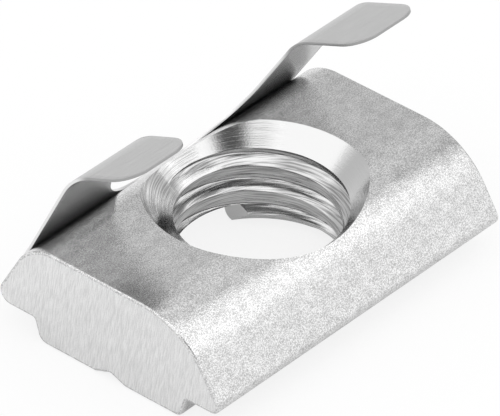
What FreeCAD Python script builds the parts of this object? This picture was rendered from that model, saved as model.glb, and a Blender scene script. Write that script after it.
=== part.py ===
import FreeCAD, Part
import math
import os

# Swivel-in T-slot nut for an 8 mm slot, lying on its collar face with its leaf spring up.
# X runs along the bar that the nut is cut from, +Y points to the flank that carries the spring,
# and Z is the axis of the tapped hole. The collar face lies on Z = 0.

# Bar section
nut_length = 17.0
nut_height = 4.55
collar_root_width = 8.1        # the collar's walls draw in towards its face
collar_face_width = 7.5
collar_height = 1.0
spring_side_reach = 6.32       # from the collar's middle to the unrounded edge of the shoulder
plain_side_reach = 6.03
spring_side_slope = 30.4       # degrees from upright
plain_side_slope = 31.5
spring_side_edge_radius = 0.55
plain_side_edge_radius = 0.4
spring_side_top_radius = 2.3
plain_side_top_radius = 3.85
collar_edge_radius = 0.45
collar_root_radius = 0.15
groove_width = 1.6             # shallow rolled line along the middle of the collar face
groove_depth = 0.3
groove_radius = 0.2
cut_edge_radius = 0.1          # tumbled edge round both sawn ends

# Tapped hole, drawn at its tapping size
tap_radius = 3.4
hole_off_middle = 0.3          # along the bar, from the middle of its length
top_countersink_radius = 4.7
bottom_countersink_radius = 4.2
breakout_width = 4.7           # gap that the hole leaves in the thin collar wall under the spring

# Leaf spring
sheet_thickness = 0.12
spring_end_gap = 0.6           # from each end of the bar to the spring
strip_start = 1.1              # up the flank, from the unrounded edge of the shoulder
strip_height = 1.75
lug_width = 3.75
window_radius = 2.9            # lower corners of the window between the lugs
flap_corner_radius = 1.1
set_start = 0.15               # from the top of the strip to the slight bend that sets a lug
set_bend_radius = 6.0

# The lug at -X, set outwards: height from the strip to its bend, bend and flap
first_lug_set = -3.0           # degrees inwards from the flank
first_lug_height = 4.4
first_bend_radius = 2.75
first_flap_length = 2.2
first_flap_slope = 21.7        # degrees from level

# The lug at +X, set inwards
second_lug_set = 3.0
second_lug_height = 5.8
second_bend_radius = 2.25
second_flap_length = 2.85
second_flap_slope = 21.9

# Overshoot of cutting shapes past what they cut
cut_margin = 2.0


def rounded_outline(corners):
    """Closed 2D outline through the corners (a, b, radius), each one rounded by a tangent arc."""
    points = [FreeCAD.Vector(a, b, 0) for a, b, radius in corners]
    starts = []
    edges = []
    for i, corner in enumerate(points):
        radius = corners[i][2]
        back = (points[i - 1] - corner).normalize()
        ahead = (points[(i + 1) % len(points)] - corner).normalize()
        if radius == 0:
            starts.append((corner, corner))
            continue
        half_angle = back.getAngle(ahead) / 2
        reach = radius / math.tan(half_angle)
        bisector = (back + ahead).normalize()
        middle = corner + bisector * (radius / math.sin(half_angle) - radius)
        entry = corner + back * reach
        leave = corner + ahead * reach
        starts.append((entry, leave))
        edges.append(Part.Arc(entry, middle, leave).toShape())
    for i, (entry, leave) in enumerate(starts):
        previous_leave = starts[i - 1][1]
        edges.append(Part.LineSegment(previous_leave, entry).toShape())
    return Part.Wire(Part.__sortEdges__(edges))


def placed(shape, origin, a_axis, b_axis):
    """The 2D shape carried to the plane through origin with the given a and b directions."""
    normal = a_axis.cross(b_axis)
    matrix = FreeCAD.Matrix(a_axis.x, b_axis.x, normal.x, origin.x,
                            a_axis.y, b_axis.y, normal.y, origin.y,
                            a_axis.z, b_axis.z, normal.z, origin.z,
                            0, 0, 0, 1)
    moved = shape.copy()
    moved.Placement = FreeCAD.Placement(matrix)
    return moved


X_AXIS = FreeCAD.Vector(1, 0, 0)
Y_AXIS = FreeCAD.Vector(0, 1, 0)
Z_AXIS = FreeCAD.Vector(0, 0, 1)

# The middle of the bar lies at this X, because the hole's axis is the origin.
bar_middle = -hole_off_middle
upper_height = nut_height - collar_height
spring_length = nut_length - 2 * spring_end_gap

# The flank that carries the spring: its lower edge, its direction upwards and its outward normal.
flank_foot = FreeCAD.Vector(bar_middle, spring_side_reach, collar_height)
flank_angle = math.radians(spring_side_slope)
flank_up = FreeCAD.Vector(0, -math.sin(flank_angle), math.cos(flank_angle))
flank_out = FreeCAD.Vector(0, math.cos(flank_angle), math.sin(flank_angle))


def bar_section():
    """Section of the drawn bar: collar below, two shoulders, sloping flanks and a flat top."""
    half_face = collar_face_width / 2
    half_root = collar_root_width / 2
    half_groove = groove_width / 2
    spring_top = spring_side_reach - upper_height * math.tan(math.radians(spring_side_slope))
    plain_top = plain_side_reach - upper_height * math.tan(math.radians(plain_side_slope))
    corners = [
        (half_face, 0, collar_edge_radius),
        (half_root, collar_height, collar_root_radius),
        (spring_side_reach, collar_height, spring_side_edge_radius),
        (spring_top, nut_height, spring_side_top_radius),
        (-plain_top, nut_height, plain_side_top_radius),
        (-plain_side_reach, collar_height, plain_side_edge_radius),
        (-half_root, collar_height, collar_root_radius),
        (-half_face, 0, collar_edge_radius),
        (-half_groove, 0, groove_radius),
        (0, groove_depth, groove_radius),
        (half_groove, 0, groove_radius),
    ]
    return rounded_outline(corners)


def tapped_hole():
    """Solid of revolution that the drill and both countersinks take out."""
    top_cone_foot = nut_height - (top_countersink_radius - tap_radius)
    bottom_cone_top = bottom_countersink_radius - tap_radius
    outline = [
        FreeCAD.Vector(0, 0, -cut_margin),
        FreeCAD.Vector(bottom_countersink_radius + cut_margin, 0, -cut_margin),
        FreeCAD.Vector(tap_radius, 0, bottom_cone_top),
        FreeCAD.Vector(tap_radius, 0, top_cone_foot),
        FreeCAD.Vector(top_countersink_radius + cut_margin, 0, nut_height + cut_margin),
        FreeCAD.Vector(0, 0, nut_height + cut_margin),
    ]
    face = Part.Face(Part.makePolygon(outline + outline[:1]))
    return face.revolve(FreeCAD.Vector(0, 0, 0), Z_AXIS, 360)


def breakout():
    """Gap through the collar wall where it is too thin beside the hole."""
    depth = collar_root_width / 2 + cut_margin
    corner = FreeCAD.Vector(-breakout_width / 2, 0, -cut_margin)
    return Part.makeBox(breakout_width, depth, cut_margin + collar_height, corner)


def nut_body():
    """Length of the bar with tumbled end edges and the tapped hole."""
    start = FreeCAD.Vector(bar_middle - nut_length / 2, 0, 0)
    section = placed(bar_section(), start, Y_AXIS, Z_AXIS)
    bar = Part.Face(section).extrude(X_AXIS * nut_length)
    end_edges = [edge for edge in bar.Edges if edge.BoundBox.XLength < cut_edge_radius]
    bar = bar.makeFillet(cut_edge_radius, end_edges)
    return bar.cut(tapped_hole()).cut(breakout())


def sheet_section(steps):
    """Section of a bent strip that starts at the strip's lower edge and climbs the flank.

    Each step is a straight length, or a bend inwards of some degrees round an inner radius.
    The degrees and the radius are both negative for a bend outwards.
    """
    inner = flank_foot + flank_up * strip_start
    along = FreeCAD.Vector(flank_up)
    out = FreeCAD.Vector(flank_out)
    outer_edges = []
    inner_edges = []
    first_inner = inner
    for kind, amount, radius in steps:
        if kind == "straight":
            following = inner + along * amount
            inner_edges.append(Part.LineSegment(inner, following).toShape())
            outer_edges.append(Part.LineSegment(inner + out * sheet_thickness,
                                                following + out * sheet_thickness).toShape())
        else:
            centre = inner - out * radius
            half_turn = FreeCAD.Rotation(X_AXIS, amount / 2)
            half_out = half_turn.multVec(out)
            turned_out = half_turn.multVec(half_out)
            following = centre + turned_out * radius
            inner_edges.append(Part.Arc(inner, centre + half_out * radius, following).toShape())
            wide = radius + sheet_thickness
            outer_edges.append(Part.Arc(centre + out * wide, centre + half_out * wide,
                                        centre + turned_out * wide).toShape())
            along = half_turn.multVec(half_turn.multVec(along))
            out = turned_out
        inner = following
    ends = [
        Part.LineSegment(first_inner, first_inner + flank_out * sheet_thickness).toShape(),
        Part.LineSegment(inner, inner + out * sheet_thickness).toShape(),
    ]
    return Part.Face(Part.Wire(Part.__sortEdges__(inner_edges + outer_edges + ends)))


def spring_half(side, lug_height, lug_set, bend_radius, flap_slope, flap_length):
    """Half of the spring, from its middle to its end at -X or +X (side -1 or 1), with its lug."""
    set_length = math.radians(abs(lug_set)) * set_bend_radius
    turn = 90 - spring_side_slope - lug_set - flap_slope
    steps = [
        ("straight", strip_height + set_start, 0),
        ("bend", lug_set, math.copysign(set_bend_radius, lug_set)),
        ("straight", lug_height - set_start - set_length, 0),
        ("bend", turn, bend_radius),
        ("straight", flap_length, 0),
    ]
    reach = lug_height + bend_radius + flap_length
    half = sheet_section(steps).extrude(X_AXIS * (side * spring_length / 2))
    half = half.cut(lug_window(reach))
    return half.makeFillet(flap_corner_radius, flap_corners(half))


def lug_window(reach):
    """What is stamped out between the two lugs, above the strip, as far as a lug's sheet reaches."""
    lug_inner = spring_length / 2 - lug_width
    corners = [
        (-lug_inner, 0, window_radius),
        (lug_inner, 0, window_radius),
        (lug_inner, reach, 0),
        (-lug_inner, reach, 0),
    ]
    origin = flank_foot + flank_up * (strip_start + strip_height) - flank_out * reach
    window = Part.Face(placed(rounded_outline(corners), origin, X_AXIS, flank_up))
    return window.extrude(flank_out * (reach + cut_margin))


def flap_corners(half):
    """The two short edges through the sheet at the free end of a flap."""
    near = half.BoundBox.YMin
    through = []
    for edge in half.Edges:
        box = edge.BoundBox
        at_end = box.YMin < near + sheet_thickness
        as_long = abs(edge.Length - sheet_thickness) < sheet_thickness / 100
        if at_end and as_long and box.XLength < sheet_thickness:
            through.append(edge)
    return through


def leaf_spring():
    """Strip on the flank with two lugs that lean over the nut and end in flaps."""
    first = spring_half(-1, first_lug_height, first_lug_set, first_bend_radius,
                        first_flap_slope, first_flap_length)
    second = spring_half(1, second_lug_height, second_lug_set, second_bend_radius,
                         second_flap_slope, second_flap_length)
    return first.fuse(second).removeSplitter()


os.makedirs("parts", exist_ok=True)
nut_body().exportStep("parts/nut_body.step")
leaf_spring().exportStep("parts/leaf_spring.step")
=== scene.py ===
# %% [markdown]
# A T-slot nut is a small steel nut that is dropped into the groove of an aluminium profile. This one is cut
# from a drawn bar, tapped and countersunk, zinc plated, and carries a leaf spring that keeps it from
# sliding away. The imported solids give its sizes, and this lesson gives it its looks. It starts with the
# solids.

# %% Load the solids
import bpy
import numpy as np
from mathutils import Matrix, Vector


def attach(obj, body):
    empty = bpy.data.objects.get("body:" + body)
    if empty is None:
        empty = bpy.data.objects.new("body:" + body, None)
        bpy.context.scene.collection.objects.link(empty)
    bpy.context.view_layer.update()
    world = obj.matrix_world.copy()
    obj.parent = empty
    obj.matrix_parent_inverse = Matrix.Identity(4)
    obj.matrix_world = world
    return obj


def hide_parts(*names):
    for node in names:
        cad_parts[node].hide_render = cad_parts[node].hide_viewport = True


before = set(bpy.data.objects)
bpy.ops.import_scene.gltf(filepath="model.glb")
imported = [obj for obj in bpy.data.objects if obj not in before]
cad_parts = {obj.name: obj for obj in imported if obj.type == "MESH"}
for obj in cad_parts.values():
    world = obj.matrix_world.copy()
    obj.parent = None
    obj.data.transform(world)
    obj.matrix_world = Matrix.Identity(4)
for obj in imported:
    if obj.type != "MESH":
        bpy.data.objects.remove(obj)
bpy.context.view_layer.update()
MM = 0.001

# %% [markdown]
# The photograph was taken from far away with a long lens, from the nut's front left and well above it. A
# camera is a point, a direction and a focal length. The point lies along the viewing direction, 294 mm from
# the nut, and the lens length comes from how many pixels one millimetre covers at that distance. The view
# is turned so that one known point, close to the foot of the hole's axis, lands on its own pixel.

# %% Place the camera
IMAGE_WIDTH, IMAGE_HEIGHT = 500, 416
AZIMUTH, ELEVATION = np.radians(-48.52), np.radians(36.52)
FOCAL_PIXELS, DISTANCE_MM = 7321.0, 293.64
AIM_MM, AIM_PIXEL = np.array([-0.1, 0.12, 0.0]), np.array([253.97, 279.63])
SENSOR_WIDTH_MM, NEAREST, FARTHEST = 36.0, 0.005, 50.0

back = np.array([np.sin(AZIMUTH) * np.cos(ELEVATION),
                 -np.cos(AZIMUTH) * np.cos(ELEVATION),
                 np.sin(ELEVATION)])
right = np.array([np.cos(AZIMUTH), np.sin(AZIMUTH), 0.0])
up = np.cross(back, right)
eye = (AIM_MM + back * DISTANCE_MM) * MM
to_centre = (np.array([IMAGE_WIDTH, IMAGE_HEIGHT]) / 2 - AIM_PIXEL) / FOCAL_PIXELS
sight = -back + right * to_centre[0] - up * to_centre[1]

lens = bpy.data.cameras.new("camera")
lens.sensor_width = SENSOR_WIDTH_MM
lens.lens = FOCAL_PIXELS / IMAGE_WIDTH * lens.sensor_width
lens.clip_start, lens.clip_end = NEAREST, FARTHEST
camera = bpy.data.objects.new("camera", lens)
bpy.context.scene.collection.objects.link(camera)
camera.location = Vector(eye)
camera.rotation_mode = "QUATERNION"
camera.rotation_quaternion = Vector(sight).to_track_quat("-Z", "Y")
bpy.context.scene.camera = camera
print("camera at", np.round(eye / MM, 1).tolist(), "mm, lens", round(lens.lens, 1), "mm")

# %% [markdown]
# Every part below is a surface on a grid: rows and columns of points that are worked out together as one
# array. The helper joins neighbouring points with four-sided faces. A grid may close on itself along its
# columns, as a tube does, and leftover faces such as end caps are passed as lists of point numbers.

# %% From grids to meshes
def grid_faces(rows, columns, close_columns=False):
    """Faces of a grid of points: each joins point (i, j) with its next neighbours in both directions."""
    i = np.arange(rows - 1)[:, None]
    j = np.arange(columns if close_columns else columns - 1)[None, :]
    j2 = (j + 1) % columns
    corners = [i * columns + j, (i + 1) * columns + j, (i + 1) * columns + j2, i * columns + j2]
    return np.stack(np.broadcast_arrays(*corners), -1).reshape(-1, 4)


def make_piece(name, points_mm, faces):
    """An object at the origin whose mesh holds the points, given in millimetres, and the faces."""
    points = np.asarray(points_mm).reshape(-1, 3) * MM
    mesh = bpy.data.meshes.new(name)
    mesh.from_pydata(points.tolist(), [], [np.asarray(face).tolist() for face in faces])
    piece = bpy.data.objects.new(name, mesh)
    bpy.context.scene.collection.objects.link(piece)
    return piece


def bake_modifiers(piece):
    """Replaces the piece's mesh by what its modifiers make of it."""
    made = bpy.data.meshes.new_from_object(piece.evaluated_get(bpy.context.evaluated_depsgraph_get()))
    piece.modifiers.clear()
    old, piece.data = piece.data, made
    bpy.data.meshes.remove(old)
    made.name = piece.name


print("grid helpers ready")

# %% [markdown]
# The bar's section is a polygon whose corners are rounded by arcs: a collar below, two shoulders, a steep
# flank for the spring, a long rounded flank in front, and a shallow V along the middle of the collar face.
# An arc is sampled by turning the corner's own normal from one side's direction to the other's, so each
# point of the outline comes with an exact outward normal, which the rounded ends need later. A guard point
# just past each end of an arc keeps the shading of the flat beside it flat.

# %% Section of the drawn bar
NUT_LENGTH, BAR_MIDDLE = 17.0, -0.3
NUT_HEIGHT, COLLAR_HEIGHT, HALF_ROOT, HALF_FACE = 4.55, 1.0, 4.05, 3.75
SPRING_REACH, SPRING_SLOPE = 6.32, np.radians(30.4)
PLAIN_REACH, PLAIN_SLOPE = 6.03, np.radians(31.5)
COLLAR_EDGE_ROUND, COLLAR_ROOT_ROUND = 0.45, 0.15
SPRING_EDGE_ROUND, SPRING_TOP_ROUND = 0.55, 2.3
PLAIN_EDGE_ROUND, PLAIN_TOP_ROUND = 0.4, 3.85
HALF_GROOVE, GROOVE_DEPTH, GROOVE_ROUND = 0.8, 0.3, 0.2
GUARD = 0.03

spring_top = SPRING_REACH - (NUT_HEIGHT - COLLAR_HEIGHT) * np.tan(SPRING_SLOPE)
plain_top = PLAIN_REACH - (NUT_HEIGHT - COLLAR_HEIGHT) * np.tan(PLAIN_SLOPE)
SECTION = np.array([
    (HALF_FACE, 0.0, COLLAR_EDGE_ROUND),
    (HALF_ROOT, COLLAR_HEIGHT, COLLAR_ROOT_ROUND),
    (SPRING_REACH, COLLAR_HEIGHT, SPRING_EDGE_ROUND),
    (spring_top, NUT_HEIGHT, SPRING_TOP_ROUND),
    (-plain_top, NUT_HEIGHT, PLAIN_TOP_ROUND),
    (-PLAIN_REACH, COLLAR_HEIGHT, PLAIN_EDGE_ROUND),
    (-HALF_ROOT, COLLAR_HEIGHT, COLLAR_ROOT_ROUND),
    (-HALF_FACE, 0.0, COLLAR_EDGE_ROUND),
    (-HALF_GROOVE, 0.0, GROOVE_ROUND),
    (0.0, GROOVE_DEPTH, GROOVE_ROUND),
    (HALF_GROOVE, 0.0, GROOVE_ROUND)])


def rounded_outline(corners, steps=24):
    """Arcs, outward normals and side directions of a closed outline that runs anticlockwise.

    At a corner the normal turns by equal steps from the side before to the side after. The arc's point is its
    centre plus (or, in a hollow corner, minus) the radius times that normal.
    """
    place, radius = corners[:, :2], corners[:, 2]
    ahead = np.roll(place, -1, 0) - place
    ahead /= np.linalg.norm(ahead, axis=1, keepdims=True)
    before = np.roll(ahead, 1, 0)
    turn = np.arctan2(before[:, 0] * ahead[:, 1] - before[:, 1] * ahead[:, 0], (before * ahead).sum(1))
    start = np.arctan2(before[:, 1], before[:, 0]) - np.pi / 2
    angle = start[:, None] + turn[:, None] * np.linspace(0, 1, steps)
    normal = np.stack([np.cos(angle), np.sin(angle)], -1)
    signed = (np.sign(turn) * radius)[:, None]
    centre = place - before * (radius * np.tan(np.abs(turn) / 2))[:, None] - signed * normal[:, 0]
    return centre[:, None] + signed[:, None] * normal, normal, ahead


arcs, arc_normals, side_ahead = rounded_outline(SECTION)
after_arc = arcs[:, -1:] + side_ahead[:, None] * GUARD
before_next = np.roll(arcs[:, :1], -1, 0) - side_ahead[:, None] * GUARD
outline = np.concatenate([arcs, after_arc, before_next], 1).reshape(-1, 2)
outward = np.concatenate([arc_normals, arc_normals[:, -1:], arc_normals[:, -1:]], 1).reshape(-1, 2)
print("section", len(outline), "points,", np.round(np.ptp(outline, axis=0), 2).tolist(), "mm across and high")

# %% [markdown]
# The bar is that outline carried along X. Its sawn ends were tumbled, so their edges are round: near each
# end the outline shrinks along its normals while it moves the last tenth of a millimetre outwards, on a
# quarter circle. One ring inside the end face keeps the flat face's shading apart from the round edge.

# %% The bar
END_ROUND = 0.1


def carried_section(steps=7):
    """Rings of the section along X: ring k is the outline moved inwards by a depth d, at a place x.

    On the quarter circle with angle a, d is the radius times 1 - sin a, and x falls short of the end by the
    radius times 1 - cos a.
    """
    a = np.linspace(0, np.pi / 2, steps)
    depth = np.concatenate([[END_ROUND + GUARD], END_ROUND * (1 - np.sin(a))])
    short = np.concatenate([[0.0], END_ROUND * (1 - np.cos(a))])
    x = np.concatenate([short - NUT_LENGTH / 2, (NUT_LENGTH / 2 - short)[::-1]]) + BAR_MIDDLE
    yz = outline[None] - np.concatenate([depth, depth[::-1]])[:, None, None] * outward[None]
    return np.concatenate([np.broadcast_to(x[:, None, None], yz.shape[:2] + (1,)), yz], -1)


rings = carried_section()
ring_count, per_ring = rings.shape[:2]
walls = grid_faces(ring_count, per_ring, close_columns=True)[:, ::-1]
caps = [np.arange(per_ring)[::-1], np.arange(per_ring) + (ring_count - 1) * per_ring]
nut_body = make_piece("plated_nut_body", rings, [*walls, *caps])
plated, sawn, turned, tapped = (bpy.data.materials.new(name)
                                for name in ("zinc_plate", "sawn_end", "turned_cone", "tapped_thread"))
nut_body.data.materials.append(plated)
nut_body.data.materials.append(sawn)
is_end = np.repeat([0, 1], [len(walls), len(caps)]).astype(np.int32)
nut_body.data.polygons.foreach_set("material_index", is_end)
print("bar", len(nut_body.data.polygons), "faces")

# %% [markdown]
# The thread is M8 with a pitch of 1.25 mm. The tap leaves a groove that winds up the wall. A tool of the
# same shape is made and taken away from the bar: its rows follow the groove, so the groove's edges stay
# crisp, and after one turn row j meets row j plus one pitch. Two points on the axis close it far outside
# the bar. The groove is the same on both sides of its middle, so half of its profile is enough: how far a
# point is from the middle, and how far from the groove's floor. Its two corners are eased in short steps.

# %% Tool with the thread's shape
PITCH, MAJOR, MINOR = 1.25, 3.88, 3.4
HALF_PROFILE = np.array([(0.065, 0.0), (0.115, 0.01), (0.165, 0.04), (0.285, 0.24),
                         (0.405, 0.44), (0.435, 0.47), (0.485, MAJOR - MINOR)])
TURN_STEPS, TURNS, LOWEST_ROW, TOOL_TIP = 160, 9, -3.4, 1.0

from_middle, from_floor = HALF_PROFILE.T
below = np.stack([PITCH / 2 - from_middle, MAJOR - from_floor], -1)[::-1]
above = np.stack([PITCH / 2 + from_middle, MAJOR - from_floor], -1)
profile = np.concatenate([[(0.0, MINOR)], below, above])


def thread_tool():
    """Helical grid: the profile's point (p, r) at turn angle t.

    Its radius is r, and its height is p plus the pitch times t / 2 pi.
    """
    rows = (profile[None, :, 0] + PITCH * np.arange(TURNS)[:, None]).ravel() + LOWEST_ROW
    radius = np.tile(profile[:, 1], TURNS)[:, None]
    t = np.linspace(0, 2 * np.pi, TURN_STEPS, endpoint=False)
    z = rows[:, None] + PITCH * t / (2 * np.pi)
    points = np.stack([radius * np.cos(t), radius * np.sin(t), z], -1).reshape(-1, 3)
    count, lift, last = len(rows), len(profile), TURN_STEPS - 1
    k = np.arange(count - lift - 1) * TURN_STEPS
    seam = np.stack([k + last, k + TURN_STEPS + last, k + (lift + 1) * TURN_STEPS, k + lift * TURN_STEPS], -1)
    foot = np.concatenate([np.arange(TURN_STEPS), np.arange(lift, 0, -1) * TURN_STEPS])
    top = np.concatenate([np.arange(TURN_STEPS) + (count - 1) * TURN_STEPS,
                          np.arange(count - 2, count - lift - 2, -1) * TURN_STEPS + last])
    tips = np.array([[0, 0, z.min() - TOOL_TIP], [0, 0, z.max() + TOOL_TIP]])
    foot_fan = np.stack([np.roll(foot, -1), foot, np.full(len(foot), len(points))], -1)
    top_fan = np.stack([top, np.roll(top, -1), np.full(len(top), len(points) + 1)], -1)
    faces = [*grid_faces(count, TURN_STEPS)[:, ::-1], *seam[:, ::-1], *foot_fan, *top_fan]
    return np.concatenate([points, tips]), faces


tap = make_piece("tap", *thread_tool())
print("tap", len(tap.data.polygons), "faces")

# %% [markdown]
# Both mouths of the hole are countersunk at 90 degrees. The tool for that is a surface of revolution: a
# slim neck inside the thread, with a cone that opens upwards and another that opens downwards. Beside the
# hole the collar wall under the spring is so thin that it is gone, and a small box tool clears that gap. It
# reaches a hair past the shoulder, so that no skin is left there.

# %% Tools for the countersinks and the gap
TOP_MOUTH, BOTTOM_MOUTH, NECK, PAST = 4.7, 4.2, 3.1, 2.0
GAP_WIDTH, HAIR = 4.7, 0.01


def countersinks(steps=192):
    """Profile (r, z) turned about Z: both cones have r grow by one for each unit of height past the neck."""
    r = np.array([BOTTOM_MOUTH + PAST, NECK, NECK, TOP_MOUTH + PAST])[:, None]
    z = np.array([-PAST, BOTTOM_MOUTH - NECK, NUT_HEIGHT - TOP_MOUTH + NECK, NUT_HEIGHT + PAST])[:, None]
    t = np.linspace(0, 2 * np.pi, steps, endpoint=False)
    points = np.stack(np.broadcast_arrays(r * np.cos(t), r * np.sin(t), z), -1)
    sides = grid_faces(len(r), steps, close_columns=True)[:, ::-1]
    return points, [*sides, np.arange(steps)[::-1], np.arange(steps) + (len(r) - 1) * steps]


def collar_gap():
    """Box from the hole's axis outwards, as high as the shoulder."""
    x, y, z = np.meshgrid([-GAP_WIDTH / 2, GAP_WIDTH / 2], [0.0, HALF_ROOT + PAST],
                          [-PAST, COLLAR_HEIGHT + HAIR], indexing="ij")
    faces = [(0, 1, 3, 2), (4, 6, 7, 5), (0, 4, 5, 1), (2, 3, 7, 6), (0, 2, 6, 4), (1, 5, 7, 3)]
    return np.stack([x, y, z], -1), faces


tools = [tap, make_piece("countersinks", *countersinks()), make_piece("collar_gap", *collar_gap())]
print("tools", [tool.name for tool in tools])

# %% [markdown]
# Boolean modifiers take the tools away from the bar. Each tool brings its own material, and the cut faces
# keep it, so the thread and the cones can have finishes of their own. Edges that turn by more than 32
# degrees stay sharp.

# %% Cutting the hole
SHARP_ANGLE = np.radians(32)

for tool in tools:
    tool.data.materials.append(tapped if tool is tap else turned)
    cut = nut_body.modifiers.new(tool.name, "BOOLEAN")
    cut.operation, cut.solver, cut.material_mode, cut.object = "DIFFERENCE", "EXACT", "TRANSFER", tool
bake_modifiers(nut_body)
for tool in tools:
    bpy.data.objects.remove(tool)
nut_body.data.shade_smooth()
nut_body.data.set_sharp_from_angle(angle=SHARP_ANGLE)
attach(nut_body, "root")
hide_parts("nut_body")
print("nut body", len(nut_body.data.polygons), "faces,", [m.name for m in nut_body.data.materials])

# %% [markdown]
# The leaf spring is stamped from thin stainless sheet and then bent. Flat, it is a strip with two lugs that
# widen towards it. So it is made the same way: first the flat outline, as rows that run from the lug's
# inner edge to its outer edge, then a map that bends a height on the flat sheet round the bends. The
# sheet's inner face is the surface, and Solidify adds the thickness outwards.

# %% The bent path of a lug
SHEET, STRIP_START, STRIP_HEIGHT = 0.12, 1.1, 1.75
HALF_SPRING, LUG_WIDTH, WINDOW_ROUND, CORNER_ROUND = 7.9, 3.75, 2.9, 1.1
SET_START, SET_ROUND = 0.15, 6.0
LUGS = [dict(side=-1, height=4.4, set=np.radians(-3.0), round=2.75, flap=2.2, slope=np.radians(21.7)),
        dict(side=1, height=5.8, set=np.radians(3.0), round=2.25, flap=2.85, slope=np.radians(21.9))]
PATH_POINTS = 40001


def bent_path(h, lug):
    """Height h on the flat sheet, from the strip's top, to (y, z) on the bent one.

    The path turns inwards at a rate of one over the bend's radius inside a bend and is straight elsewhere. So
    the lean is the summed turning, and the place is the sum of small steps along the lean.
    """
    fine = np.linspace(-STRIP_HEIGHT, lug["reach"], PATH_POINTS)
    in_set = np.sign(lug["set"]) * np.clip((fine - SET_START) / SET_ROUND, 0, abs(lug["set"]))
    in_bend = np.clip((fine - lug["height"]) / lug["round"], 0, lug["turn"])
    lean = SPRING_SLOPE + in_set + in_bend
    middle, step = (lean[1:] + lean[:-1]) / 2, fine[1] - fine[0]
    inwards = STRIP_START * np.sin(SPRING_SLOPE) + np.append(0, np.cumsum(np.sin(middle)) * step)
    upwards = STRIP_START * np.cos(SPRING_SLOPE) + np.append(0, np.cumsum(np.cos(middle)) * step)
    return SPRING_REACH - np.interp(h, fine, inwards), COLLAR_HEIGHT + np.interp(h, fine, upwards)


for lug in LUGS:
    lug["turn"] = np.pi / 2 - SPRING_SLOPE - lug["set"] - lug["slope"]
    lug["reach"] = lug["height"] + lug["turn"] * lug["round"] + lug["flap"]
    print("lug on side", lug["side"], "flat height", round(lug["reach"], 2), "mm, tip at y, z",
          np.round(bent_path(lug["reach"], lug), 2).tolist())

# %% [markdown]
# A lug's rows are close together where its outline or its path curves: at its foot, in the bends and at the
# flap's rounded corners. All rows hold the same number of points, so the lug is one grid. The strip's upper
# row holds the lowest row of both lugs, so that all three grids meet point to point.

# %% Grids of the strip and the lugs
LUG_COLUMNS, WINDOW_COLUMNS = 14, 8
WINDOW_ROWS, SET_ROWS, BEND_ROWS, CORNER_ROWS = 32, 5, 28, 16


def lug_grid(lug):
    """Rows at heights h; a row runs from inner edge x1(h) to outer edge x2(h), evenly.

    x1 follows the round corner of the window between the lugs, and near the free end both edges draw in by
    the corner radius times 1 - cos a, where the height is the end less the radius times 1 - sin a.
    """
    inner = HALF_SPRING - LUG_WIDTH
    w = np.linspace(0, np.pi / 2, WINDOW_ROWS)
    window_h = WINDOW_ROUND * (1 - np.cos(w))
    window_x = inner - WINDOW_ROUND * (1 - np.sin(w))
    a = np.linspace(0, np.pi / 2, CORNER_ROWS)
    corner = lug["reach"] - CORNER_ROUND * (1 - np.sin(a))
    set_bend = np.linspace(SET_START, SET_START + abs(lug["set"]) * SET_ROUND, SET_ROWS)
    bend = np.linspace(lug["height"], lug["height"] + lug["turn"] * lug["round"], BEND_ROWS)
    h = np.unique(np.concatenate([window_h, set_bend, bend, corner]).round(6))
    draw_in = np.interp(h, corner, CORNER_ROUND * (1 - np.cos(a)), left=0.0)
    x1 = np.interp(h, window_h, window_x) + draw_in
    x2 = HALF_SPRING - draw_in
    x = lug["side"] * (x1[:, None] + (x2 - x1)[:, None] * np.linspace(0, 1, LUG_COLUMNS)) + BAR_MIDDLE
    y, z = bent_path(h, lug)
    return np.stack(np.broadcast_arrays(x, y[:, None], z[:, None]), -1)


first_lug, second_lug = lug_grid(LUGS[0])[:, ::-1], lug_grid(LUGS[1])
between = np.linspace(first_lug[0, -1, 0], second_lug[0, 0, 0], WINDOW_COLUMNS)[1:-1]
strip_x = np.concatenate([first_lug[0, :, 0], between, second_lug[0, :, 0]])
strip_y, strip_z = bent_path(np.array([-STRIP_HEIGHT, 0.0]), LUGS[0])
strip = np.stack(np.broadcast_arrays(strip_x, strip_y[:, None], strip_z[:, None]), -1)
print("grids of the strip and two lugs", [grid.shape[:2] for grid in (strip, first_lug, second_lug)])

# %% [markdown]
# The grids become one mesh. Points in the same place are merged, the sheet gets its thickness, and its
# edges are softened by a hair so that they catch the light. Weighted normals keep the flat faces beside
# them flat. The rim that the thickness adds is the stamped edge, and it has a material of its own.

# %% The leaf spring
SAME_PLACE, EDGE_SOFT, EDGE_STEPS, EDGE_ANGLE = 0.0005, 0.015, 2, np.radians(60)

grids = [strip, first_lug, second_lug]
starts = np.cumsum([0] + [grid.shape[0] * grid.shape[1] for grid in grids])
faces = np.concatenate([grid_faces(*grid.shape[:2]) + start for grid, start in zip(grids, starts)])
leaf_spring = make_piece("bent_leaf_spring", np.concatenate([grid.reshape(-1, 3) for grid in grids]), faces)
sheet_metal, stamped = (bpy.data.materials.new(name) for name in ("rolled_sheet", "stamped_edge"))
leaf_spring.data.materials.append(sheet_metal)
leaf_spring.data.materials.append(stamped)
weld = leaf_spring.modifiers.new("merged points", "WELD")
weld.merge_threshold = SAME_PLACE * MM
thicken = leaf_spring.modifiers.new("sheet thickness", "SOLIDIFY")
thicken.thickness, thicken.offset, thicken.material_offset_rim = SHEET * MM, 1.0, 1
soften = leaf_spring.modifiers.new("soft edges", "BEVEL")
soften.limit_method, soften.angle_limit = "ANGLE", EDGE_ANGLE
soften.width, soften.segments = EDGE_SOFT * MM, EDGE_STEPS
leaf_spring.modifiers.new("flat faces shade flat", "WEIGHTED_NORMAL")
leaf_spring.data.shade_smooth()
bake_modifiers(leaf_spring)
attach(leaf_spring, "root")
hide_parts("leaf_spring")
print("leaf spring", len(leaf_spring.data.polygons), "faces")

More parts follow.
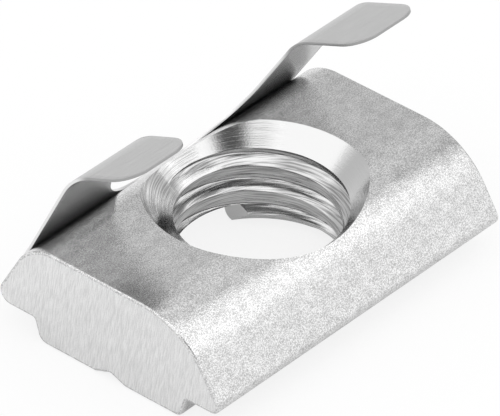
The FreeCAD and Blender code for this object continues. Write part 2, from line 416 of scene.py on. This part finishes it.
# %% [markdown]
# A finish is a small graph of nodes. Writing it as arithmetic keeps it readable, so one class wraps a
# node's output: adding or multiplying two of them adds a Math node, and any other node comes from one
# method.

# %% Arithmetic on node outputs
class Value:
    """An output of a node in a tree. Arithmetic on it adds Math nodes to the same tree."""

    def __init__(self, tree, socket=None):
        self.tree, self.socket = tree, socket

    def node(self, kind, settings=None, inputs=None, output=0):
        """Adds a node, applies its settings, then sets or links its inputs, and gives one of its outputs."""
        made = self.tree.nodes.new(kind)
        for name, setting in (settings or {}).items():
            setattr(made, name, setting)
        for name, given in (inputs or {}).items():
            if isinstance(given, Value):
                self.tree.links.new(given.socket, made.inputs[name])
            else:
                made.inputs[name].default_value = given
        return Value(self.tree, made.outputs[output] if made.outputs else None)

    def math(self, operation, first, second=0.0):
        return self.node("ShaderNodeMath", {"operation": operation}, {0: first, 1: second})

    def __add__(self, other):
        return self.math("ADD", self, other)

    def __mul__(self, other):
        return self.math("MULTIPLY", self, other)

    def __sub__(self, other):
        return self.math("SUBTRACT", self, other)

    def __rsub__(self, other):
        return self.math("SUBTRACT", other, self)

    __radd__ = __add__
    __rmul__ = __mul__

    def between(self, low, high):
        """0 below low, 1 above high and a soft ramp between them."""
        ramp = {"interpolation_type": "SMOOTHSTEP"}
        return self.node("ShaderNodeMapRange", ramp, {"Value": self, "From Min": low, "From Max": high})

    def grey(self, dark, light):
        """A grey that runs from dark to light as this value runs from 0 to 1."""
        ends = {0: self, 6: (dark, dark, dark, 1), 7: (light, light, light, 1)}
        return self.node("ShaderNodeMix", {"data_type": "RGBA"}, ends, 2)

    def along(self, axis):
        """One of the three numbers of a place, by its axis."""
        return self.node("ShaderNodeSeparateXYZ", None, {0: self}, axis)


print("node arithmetic ready")

# %% [markdown]
# The finishes share a few steps. Each starts with an empty tree and the place on the piece in millimetres,
# so that a noise can be given in cells per millimetre, and ends with a metal surface. A relief is a height
# map that tilts the surface's normal.

# %% Steps that the finishes share
def start_tree(owner):
    """Empties a material's or a world's node tree and gives a value to build on."""
    owner.use_nodes = True
    owner.node_tree.nodes.clear()
    return Value(owner.node_tree)


def place_on(value):
    """The place on the piece in millimetres."""
    place = value.node("ShaderNodeTexCoord", output="Object")
    return value.node("ShaderNodeVectorMath", {"operation": "SCALE"}, {0: place, "Scale": 1 / MM})


def noise(place, cells, detail=2.0, roughness=0.5):
    """Noise from 0 to 1 with about this many cells per millimetre along X, Y and Z."""
    place = place.node("ShaderNodeVectorMath", {"operation": "MULTIPLY"}, {0: place, 1: cells})
    settings = {"Vector": place, "Scale": 1.0, "Detail": detail, "Roughness": roughness}
    return place.node("ShaderNodeTexNoise", None, settings)


def relief(height, depth_mm):
    """A normal that is tilted by a height map whose full range is depth_mm high."""
    return height.node("ShaderNodeBump", None, {"Height": height, "Distance": depth_mm * MM, "Strength": 1.0})


def metal(value, **inputs):
    """Ends the tree with a metal surface. Its inputs are numbers, colours or values."""
    inputs = {name.replace("_", " "): given for name, given in inputs.items()}
    surface = value.node("ShaderNodeBsdfPrincipled", None, {"Metallic": 1.0, **inputs})
    value.node("ShaderNodeOutputMaterial", None, {"Surface": surface})


print("shared steps ready")

# %% [markdown]
# Zinc plate on tumbled steel is satin: a bright metal with a fine grain. The grain is a noise with cells
# about a twentieth of a millimetre wide. It tilts the surface, so light breaks up into specks, and it
# varies the colour. Larger and weaker blotches make the gloss a little uneven.

# %% Zinc plate
GRAIN_CELLS, BLOTCH_CELLS, CRISP = (18.0, 18.0, 18.0), (2.2, 3.0, 3.0), 0.6
GRAIN_SHARE, ZINC_RANGE, ZINC_GREYS = 0.8, (0.32, 0.68), (0.40, 0.84)
ZINC_ROUGH, ZINC_UNEVEN, GRAIN_DEPTH = 0.14, 0.06, 0.008

value = start_tree(plated)
place = place_on(value)
grain = noise(place, GRAIN_CELLS, roughness=CRISP)
blotches = noise(place, BLOTCH_CELLS)
tone = (grain * GRAIN_SHARE + blotches * (1 - GRAIN_SHARE)).between(*ZINC_RANGE)
metal(value, Base_Color=tone.grey(*ZINC_GREYS), Roughness=blotches * ZINC_UNEVEN + ZINC_ROUGH,
      Normal=relief(grain, GRAIN_DEPTH))
print("zinc plate done")

# %% [markdown]
# The ends are sawn before plating. The saw leaves fine scratches that run nearly upright, so the noise
# there is turned a little and stretched along Z, and mixed with a grain.

# %% Sawn ends
SAW_SLANT, SCRATCH_CELLS, SAWN_GRAIN_CELLS = np.radians(-9), (6.0, 20.0, 1.6), (20.0, 20.0, 20.0)
SCRATCH_SHARE, SAWN_RANGE, SAWN_GREYS = 0.6, (0.34, 0.66), (0.64, 0.85)
SAWN_ROUGH, SCRATCH_DEPTH = 0.36, 0.008

value = start_tree(sawn)
place = place_on(value)
slanted = value.node("ShaderNodeMapping", None, {"Vector": place, "Rotation": (SAW_SLANT, 0, 0)})
scratches = noise(slanted, SCRATCH_CELLS, roughness=CRISP)
sawn_grain = noise(place, SAWN_GRAIN_CELLS, roughness=CRISP)
marks = scratches * SCRATCH_SHARE + sawn_grain * (1 - SCRATCH_SHARE)
metal(value, Base_Color=marks.between(*SAWN_RANGE).grey(*SAWN_GREYS), Roughness=SAWN_ROUGH,
      Normal=relief(marks, SCRATCH_DEPTH))
print("sawn ends done")

# %% [markdown]
# A countersink leaves rings round the hole. Their noise changes quickly with height and slowly round the
# hole, so it looks like the tool's path on the cone. Towards +X the cones are one plain grey. Towards -X
# brighter and darker rings are left, raised on average as a painted highlight. Small pits break up the gloss.

# %% Turned cones
CONE_CELLS, CONE_RANGE, PIT_CELLS = (0.4, 0.4, 26.0), (0.4, 0.6), (16.0, 16.0, 16.0)
PLAIN_SIDE_X, CONE_GREY, RING_DARKER, RING_CONTRAST = (-2.0, 0.5), 0.66, 0.12, 0.4
CONE_ROUGH, RING_SHARE, RING_DEPTH = 0.13, 0.7, 0.008

value = start_tree(turned)
place = place_on(value)
cone_rings = noise(place, CONE_CELLS, roughness=CRISP)
pits = noise(place, PIT_CELLS, detail=1.0)
plain_side = place.along("X").between(*PLAIN_SIDE_X)
# Towards -X the rings' grey sits above CONE_GREY on average: a painted highlight on that side.
shade = (1 - plain_side) * (cone_rings.between(*CONE_RANGE) * RING_CONTRAST - RING_DARKER) + CONE_GREY
metal(value, Base_Color=shade.grey(0.0, 1.0), Roughness=CONE_ROUGH,
      Normal=relief(cone_rings * RING_SHARE + pits * (1 - RING_SHARE), RING_DEPTH))
print("cones done")

# %% [markdown]
# The tap leaves rings too, and they are made in the same way. They are darker than the cones' rings, and
# the gloss changes from ring to ring.

# %% Tapped thread
THREAD_CELLS, THREAD_RANGE, THREAD_GREYS = (0.6, 0.6, 24.0), (0.35, 0.6), (0.32, 0.64)
THREAD_ROUGH, THREAD_UNEVEN, THREAD_DEPTH = 0.12, 0.10, 0.006

value = start_tree(tapped)
thread_rings = noise(place_on(value), THREAD_CELLS, roughness=CRISP)
metal(value, Base_Color=thread_rings.between(*THREAD_RANGE).grey(*THREAD_GREYS),
      Roughness=thread_rings * THREAD_UNEVEN + THREAD_ROUGH, Normal=relief(thread_rings, THREAD_DEPTH))
print("thread done")

# %% [markdown]
# The spring's sheet is rolled smooth, so it is the plainest metal of the part. A trace of matt surface
# keeps its deepest shade from going black, and a grey Specular Tint makes it mirror less at a glancing
# angle. Its stamped edge is rougher. Its grey is painted light: a thin pale painted highlight on the lugs,
# and painted shade on the flaps, which lie nearer to the middle of the nut.

# %% Rolled sheet and its edge
ROLLED_CELLS, ROLLED_RANGE, SHEET_GREYS = (0.8, 7.0, 7.0), (0.2, 0.8), (0.56, 0.61)
SHEET_ROUGH, SHEET_UNEVEN, SHEET_METAL, GLANCING_TINT = 0.20, 0.06, 0.88, (0.8, 0.8, 0.8, 1)
PAINTED_EDGE_Y, PAINTED_EDGE_GREYS, EDGE_ROUGH = (1.6, 2.2), (0.36, 0.78), 0.35

value = start_tree(sheet_metal)
rolled = noise(place_on(value), ROLLED_CELLS)
metal(value, Base_Color=rolled.between(*ROLLED_RANGE).grey(*SHEET_GREYS),
      Roughness=rolled * SHEET_UNEVEN + SHEET_ROUGH, Metallic=SHEET_METAL, Specular_Tint=GLANCING_TINT)
value = start_tree(stamped)
# The stamped edge's grey runs with Y: painted highlight on the lugs, painted shade on the flaps.
metal(value, Base_Color=place_on(value).along("Y").between(*PAINTED_EDGE_Y).grey(*PAINTED_EDGE_GREYS), Roughness=EDGE_ROUGH)
print("sheet done")

# %% [markdown]
# Metal shows what stands round it, so the studio matters as much as the finish. The nut lies on a pale
# floor, and the world behind it is white for the camera and for mirrors. The floor glows for them too, so
# that it meets the white world without a seam. It glows less in mirrors, so the metal shows the shade under
# the nut.

# %% Floor and world
CAMERA_GLOW, MIRROR_GLOW, FILL = 0.82, 0.2, 0.9
FLOOR_LEVEL, HALF_FLOOR, FLOOR_GREY, WHITE = -0.02, 3000.0, (0.9, 0.9, 0.9, 1), (1, 1, 1, 1)


def seen(value, by_camera, by_mirrors):
    """A level for what the camera sees, another for what a mirror or a glass sees, and 0 for other light."""
    camera, mirror, glass = (value.node("ShaderNodeLightPath", output=f"Is {kind} Ray")
                             for kind in ("Camera", "Glossy", "Transmission"))
    return camera * by_camera + value.math("MAXIMUM", mirror, glass) * by_mirrors


x, y = np.meshgrid([-HALF_FLOOR, HALF_FLOOR], [-HALF_FLOOR, HALF_FLOOR], indexing="ij")
floor = make_piece("floor", np.stack([x, y, np.full(x.shape, FLOOR_LEVEL)], -1), [(0, 2, 3, 1)])
floor_paint = bpy.data.materials.new("floor_paint")
floor.data.materials.append(floor_paint)
value = start_tree(floor_paint)
matt = value.node("ShaderNodeBsdfDiffuse", None, {"Color": FLOOR_GREY})
glow = value.node("ShaderNodeEmission", None, {"Color": WHITE, "Strength": 1.0})
paint = value.node("ShaderNodeMixShader", None, {0: seen(value, CAMERA_GLOW, MIRROR_GLOW), 1: matt, 2: glow})
value.node("ShaderNodeOutputMaterial", None, {"Surface": paint})

world = bpy.data.worlds.new("white_room")
bpy.context.scene.world = world
value = start_tree(world)
strength = seen(value, 1 - FILL, 1 - FILL) + FILL
sky = value.node("ShaderNodeBackground", None, {"Color": WHITE, "Strength": strength})
value.node("ShaderNodeOutputWorld", None, {"Surface": sky})
bpy.context.scene.view_settings.view_transform = "Standard"
print("floor and world ready")

# %% [markdown]
# A wide soft lamp hangs overhead in front, a smaller one stands at the right, and one at the left lights
# the round edge of the sawn end and the far right of the countersink. A ray that meets a lamp goes on to
# the white world behind it, so the lamps only add to that white and stay weak. A lamp's power follows from
# the brightness of its face: brightness times pi times area. Places and sizes of lamps are in metres.

# %% Lamps
def soft_lamp(name, direction, distance, width, height, brightness):
    """A square-cornered area lamp that faces the nut from a direction."""
    light = bpy.data.lights.new(name, "AREA")
    light.shape, light.size, light.size_y = "RECTANGLE", width, height
    light.energy = brightness * np.pi * width * height
    lamp = bpy.data.objects.new(name, light)
    bpy.context.scene.collection.objects.link(lamp)
    lamp.location = Vector(direction).normalized() * distance
    lamp.rotation_mode = "QUATERNION"
    lamp.rotation_quaternion = Vector(direction).to_track_quat("Z", "Y")
    lamp.visible_camera = False


soft_lamp("overhead_lamp", (0.1, -0.47, 0.88), distance=1.3, width=2.6, height=1.35, brightness=0.5)
soft_lamp("right_lamp", (0.62, -0.75, 0.25), distance=1.2, width=0.9, height=0.7, brightness=0.18)
soft_lamp("left_lamp", (-0.71, 0.21, 0.67), distance=1.3, width=1.7, height=0.95, brightness=0.42)

# %% [markdown]
# Greys on metal are reflections of darker things. So two curved cards stand round the nut, each a patch of
# a sphere one metre away that glows by itself. Only the metal can see them: they are hidden from the
# camera, cast no shadow and light nothing matt.

# %% Making a card
def curved_card(name, sides, foot, tops, columns=49, rows=25):
    """Patch of a unit sphere: column angle a runs from side to side, row angle e from the foot to the top.

    Angles are in degrees. The top keeps its first height to the middle and runs to its second one from there.
    """
    share = np.linspace(0, 1, columns)
    a = np.radians(np.interp(share, [0, 1], sides))
    top = np.interp(share, [0.0, 0.5, 1.0], [tops[0], tops[0], tops[1]])
    e = np.radians(foot + (top - foot) * np.linspace(0, 1, rows)[:, None])
    points = np.stack(np.broadcast_arrays(np.cos(e) * np.cos(a), np.cos(e) * np.sin(a), np.sin(e)), -1)
    card = make_piece(name, points / MM, grid_faces(rows, columns))
    paint = bpy.data.materials.new(name)
    card.data.materials.append(paint)
    card.visible_camera = card.visible_diffuse = card.visible_shadow = False
    return start_tree(paint)


def shine(value, level, brightest=1.0):
    """Ends a tree with a glow whose level runs from 0 to 1 of the brightest."""
    glow = value.node("ShaderNodeEmission", None, {"Color": level.grey(0.0, 1.0), "Strength": brightest})
    value.node("ShaderNodeOutputMaterial", None, {"Surface": glow})


print("card helpers ready")

# %% [markdown]
# A grey card stands round the back, darkest half-way up and along its right edge. It gives the flat top,
# the flaps and the right of the countersink their greys, and its left and right edges are the sharp borders
# between grey and white on the nut.

# %% Grey card
FOOT_GLOW, DIMMER, DIM_HEIGHTS = 0.9, 0.2, (0.0, 0.45)
BRIGHTER, BRIGHT_HEIGHTS = 0.25, (0.55, 0.82)
EDGE_SHADE, EDGE_BAND = 0.25, (-0.10, 0.08)

value = curved_card("grey_card", sides=(-19.0, 117.0), foot=0.0, tops=(67.0, 45.0))
place = value.node("ShaderNodeTexCoord", output="Object")
height = place.along("Z")
upwards = height.between(*BRIGHT_HEIGHTS) * BRIGHTER - height.between(*DIM_HEIGHTS) * DIMMER
shine(value, upwards + place.along("Y").between(*EDGE_BAND) * EDGE_SHADE + (FOOT_GLOW - EDGE_SHADE))
print("grey card ready")

# %% [markdown]
# A second card with two soft dark spots stands for the camera and its stand, which show as dark specks on
# the far side of the hole. Away from the spots it shines brighter than the white room.

# %% Card with dark spots
CAMERA_SPOTS, SPOT_EDGE = [(-0.16, -0.62, 0.77), (-0.60, -0.53, 0.60)], (0.12, 0.36)
CAMERA_SHADE, ROOM_GLOW = 0.07, 1.4

value = curved_card("dark_card", sides=(-165.0, -70.0), foot=15.0, tops=(70.0, 70.0))
place = value.node("ShaderNodeTexCoord", output="Object")
away = [value.node("ShaderNodeVectorMath", {"operation": "DISTANCE"}, {0: place, 1: spot}, "Value")
        for spot in CAMERA_SPOTS]
lit = value.math("MINIMUM", *away).between(*SPOT_EDGE)
shine(value, lit * (1 - CAMERA_SHADE) + CAMERA_SHADE, ROOM_GLOW)
print("dark card ready")
